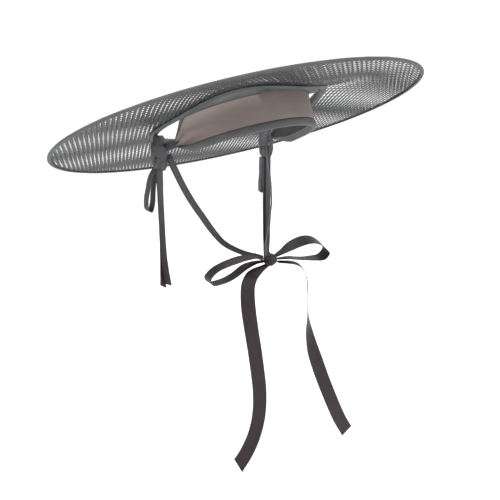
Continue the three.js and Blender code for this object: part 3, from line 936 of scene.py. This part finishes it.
# A tape folded over one edge of the band. into is 1 for the lower edge and -1 for the upper.
def addBandTape(name, edgeLevel, into, node):
    width = bandSizes["tapeWidth"] / bandSizes["height"]
    outline = [  # out from the band's face, and share of the tape's width in from the edge
        (0.95, 1), (1.35, 0.85), (1.4, 0.5), (1.15, 0.15), (0.3, 0.0), (-1.4, -0.03), (-3.0, 0.0),
        (-3.7, 0.15), (-3.8, 0.5), (-3.75, 1), (-3.35, 1), (-3.35, 0.5), (-2.9, 0.12), (-1.4, 0.08),
        (0.2, 0.1), (0.85, 0.3), (0.8, 0.95),
    ]
    outs = np.array([out for out, _ in outline])
    levels = edgeLevel + into * np.array([share for _, share in outline]) * width
    folding = np.where(outs > -1, 1.0, 0.55)  # the inner face follows the pleats less, as the lining does
    # Millimetres round the fold, near enough for the weave.
    mapped = np.cumsum([0, *[math.dist(a, b) * 3 for a, b in zip(outline, outline[1:])]])
    level = edgeLevel + into * bandSizes["stitchLevel"] * width
    turns = np.linspace(-bandSizes["endAngle"] + 0.6, bandSizes["endAngle"] - 0.6, 301)
    rows, uv, stitchLine, stitchOut = [], [], [], []
    for turn in turns:
        run = math.radians(turn) * bandGirth
        fold = np.array([bandFolds(turn, level) for level in levels])
        rows.append(bandPoints(np.full(len(outs), turn), outs + fold * folding, levels))
        uv.append(np.column_stack([mapped, np.full(len(outs), run)]))
        out = np.array([bandSizes["stitchOut"] + bandFolds(turn, level)])
        stitchLine.append(bandPoints(np.array([turn]), out, np.array([level]))[0])
        further = bandPoints(np.array([turn]), out + 1, np.array([level]))[0]
        stitchOut.append(further - stitchLine[-1])
    faces = closedTube(len(turns), len(outline))
    if into < 0:
        faces = [f[::-1] for f in faces]
    obj = addObject(name, fromBrim(np.concatenate(rows)) * mm, faces, bandTape, np.concatenate(uv))
    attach(obj, "hat")
    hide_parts(node)
    addStitches(name + ".stitches", fromBrim(stitchLine), fromBrim(stitchOut), "hat")


addBandTape("bandLowerTape", 0, 1, "forehead_band_lower_tape")
addBandTape("bandUpperTape", 1, -1, "forehead_band_upper_tape")


seamSizes = {
    "halfAngle": 30,
    "rise": 11.6,
    "thickness": 0.5,
    "bandFace": 1.3,  # out from the band, past its tape
    "openingGap": 0.4,
    "sag": 0.5,
    "pucker": 0.25,
    "width": 7,
}


# The crescent of tape that hangs the band from the front of the opening.
def addFrontSeam(seam):
    turns = np.radians(np.linspace(seam["halfAngle"], -seam["halfAngle"], 81))
    shares = np.linspace(0, 1, 9)
    face, gap = seam["bandFace"], seam["openingGap"]
    rows, uv = [], []
    for turn in turns:
        facing = np.array([math.sin(turn), -math.cos(turn)])
        atBand = facing * (bandSizes["width"] / 2 + face, bandSizes["length"] / 2 + face)
        atOpening = facing * (brimSizes["openingWidth"] / 2 - gap, brimSizes["openingLength"] / 2 - gap)
        atOpening = atOpening - (0, brimSizes["openingForward"])
        for level, order in ((0.5, shares), (-0.5, shares[::-1])):
            for share in order:
                pucker = seam["pucker"] * noise.noise(Vector((turn * 12, share * 2, 0)))
                sag = -seam["sag"] * math.sin(math.pi * share) + pucker
                flat = atBand + (atOpening - atBand) * share
                rows.append((*flat, seam["rise"] + sag + level * seam["thickness"]))
                uv.append((share * seam["width"], turn * bandSizes["length"] / 2))
    faces = closedTube(len(turns), len(shares) * 2)
    obj = addObject("frontSeamTape", fromBrim(rows) * mm, faces, edgeTape, uv)
    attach(obj, "hat")
    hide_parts("front_seam_tape")


addFrontSeam(seamSizes)
print("forehead band made")


# Knots: a creased core with turns of ribbon drawn tight round it. folds is how deep the creases are,
# blunt below 1 squares the core's ends off, and spread widens its lower end. A wrap is its axis, its
# width, how far it stands off the core, and how far it wanders to either side.
knotMesh = {"rings": 26, "around": 40, "wrapSteps": 56, "wrapAcross": 9}
knotShapes = {
    "side": {"folds": 0.14, "blunt": 0.5, "spread": 0.15},
    "chin": {"folds": 0.07, "blunt": 1, "spread": 0},
}
tieSizes = {
    "endAngle": 3,  # degrees back from the band's end
    "out": -0.6,
    "aim": 4,  # above the knot's middle
    "shares": (-0.1, 0.25, 0.55, 0.85),
    "extraWidth": 1.5,
}


def addKnot(name, centre, sizes, shape, wraps, node, body, seed):
    radii = np.array(sizes) / 2
    vertices, uv = [], []
    rings, around = knotMesh["rings"], knotMesh["around"]
    for i in range(rings):
        polar = math.pi * (i + 0.5) / rings
        for j in range(around):
            turn = 2 * math.pi * j / around
            ray = np.array([
                math.sin(polar) * math.cos(turn), math.sin(polar) * math.sin(turn), -math.cos(polar)
            ])
            girth = math.sin(polar) ** (shape["blunt"] - 1) * (1 + shape["spread"] * math.cos(polar))
            crease = shape["folds"] * math.cos(7 * turn + 2 * math.sin(polar * 2 + seed)) * math.sin(polar)
            lump = 0.08 * noise.noise(Vector(ray * 2.2) + Vector((seed, 0, 0)))
            reach = ray * radii * (0.9 + crease + lump) * (girth, girth, 1)
            vertices.append(np.array(centre) + reach)
            uv.append((turn * radii[0], polar * radii[2]))
    faces = closedTube(rings, around)
    steps, across = knotMesh["wrapSteps"], knotMesh["wrapAcross"]
    outside = [(k / (across - 1), True) for k in range(across)]
    inside = [(share, False) for share, _ in outside[::-1]]
    for axis, width, lift, drift in wraps:
        axis = unit(np.array(axis, float))
        first = unit(np.cross(axis, (0.3, 0.5, 0.81)))
        second = np.cross(axis, first)
        start = len(vertices)
        for step in range(steps):
            angle = 2 * math.pi * step / steps
            spoke = first * math.cos(angle) + second * math.sin(angle)
            for share, isOutside in outside + inside:
                off = (share - 0.5) * width + drift * math.sin(angle)
                ray = unit(spoke + axis * off / radii.mean())
                pleat = 0.028 * math.cos(2 * math.pi * 2.5 * share + 1.5 * math.sin(angle + seed))
                shell = 0.98 + lift + (0.07 + pleat if isOutside else -0.06)
                vertices.append(np.array(centre) + ray * radii * shell)
                uv.append((share * width, angle * radii.mean()))
        faces.extend(ringFaces(steps, across * 2, closedRings=True, start=start))
    obj = addObject(name, np.array(vertices) * mm, faces, ribbonSatin, uv)
    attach(obj, body)
    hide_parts(node)
    return obj


for side, way in (("right", -1), ("left", 1)):
    x, y, z = sideKnotBase[side]
    middle = (x, y, z + sideKnotSize["height"] / 2)
    height = sideKnotSize["height"] + sideKnotSize["overlap"]
    sizes = (sideKnotSize["across"], sideKnotSize["depth"], height)
    addKnot(
        "sideKnot." + side, middle, sizes, knotShapes["side"],
        [((0.1 * way, 0.75, 0.65), 8, 0.02, 1.0), ((0.2, 0.1, 1), 9, 0.03, -1.0)],
        "side_knot_" + side, "hat", 3 + way,
    )
    # The short tie from the gathered end to the knot.
    tieTurn = way * (bandSizes["endAngle"] - tieSizes["endAngle"])
    bandEnd = bandPoints(np.array([tieTurn]), np.array([tieSizes["out"]]), np.array([0.5]))
    tieStart = fromBrim(bandEnd)[0]
    towards = np.array(middle) + (0, 0, tieSizes["aim"]) - tieStart
    addRibbon(
        "bandTie." + side, [tieStart + towards * share for share in tieSizes["shares"]],
        [fromBrim((0.1, 0, 1)), fromBrim((0.2, 0, 1))],
        evenWidth(ribbonSizes["folded"] + tieSizes["extraWidth"]), foldedSection(), ["band_tie_" + side],
        "hat", foldRipple(5 + way),
    )

chinKnot = addKnot(
    "chinKnot", chinKnotPlace, tuple(chinKnotSize.values()), knotShapes["chin"],
    [((1, 0.1, 0.05), 11, 0.12, 0.4), ((0.5, 0.2, 1), 6, 0.06, 1.2), ((-0.5, 0.3, 1), 6, 0.06, -1.2)],
    "chin_knot", "chin_strap", 8,
)

print("knots made")

# Stage: a pale floor that curves up into a wide backdrop, and soft lights.
stageSizes = {"floor": -0.46, "flatRadius": 3.0, "bend": 2.0, "wall": 4.0, "bendSteps": 16, "around": 96}


def makeStage():
    profile = [(0.001, 0), (stageSizes["flatRadius"], 0)]
    for step in range(1, stageSizes["bendSteps"] + 1):
        angle = math.pi / 2 * step / stageSizes["bendSteps"]
        profile.append((
            stageSizes["flatRadius"] + stageSizes["bend"] * math.sin(angle),
            stageSizes["bend"] * (1 - math.cos(angle)),
        ))
    profile.append((profile[-1][0], stageSizes["wall"]))
    around = stageSizes["around"]
    turns = [2 * math.pi * k / around for k in range(around)]
    vertices = [
        (radius * math.cos(turn), radius * math.sin(turn), stageSizes["floor"] + height)
        for radius, height in profile
        for turn in turns
    ]
    material, tree, shader = newMaterial("palePaintedFloor", Roughness=0.9)
    mottledColour(tree, shader, "#fafaf9", "#fcfcfb", 400)
    floor = addObject("floor", vertices, ringFaces(len(profile), around), material)
    floor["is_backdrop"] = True


lightSizes = {  # metres to the right, up and back of the middle, then size and watts
    "key": (-0.9, 1.1, 1.3, 1.2, 22),
    "fill": (1.3, 0.5, 1.0, 1.4, 9),
    "top": (0.1, 1.8, -0.4, 1.6, 14),
}


def makeLights():
    for name, (side, height, distance, size, power) in lightSizes.items():
        data = bpy.data.lights.new(name, "AREA")
        data.size = size
        data.energy = power
        light = bpy.data.objects.new(name, data)
        light.location = cameraRight * side + cameraUp * height + cameraBack * distance
        light.rotation_euler = light.location.to_track_quat("Z", "Y").to_euler()
        bpy.context.collection.objects.link(light)
    world = bpy.data.worlds.new("softSky")
    world.use_nodes = True
    background = next(node for node in world.node_tree.nodes if node.type == "BACKGROUND")
    background.inputs["Color"].default_value = (1, 1, 1, 1)
    background.inputs["Strength"].default_value = 1.08
    bpy.context.scene.world = world
    bpy.context.scene.view_settings.view_transform = "Standard"


makeStage()
makeLights()
print("stage and lights made")

sizes = {"cad": cadBox, "visual": [list(corner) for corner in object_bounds()]}
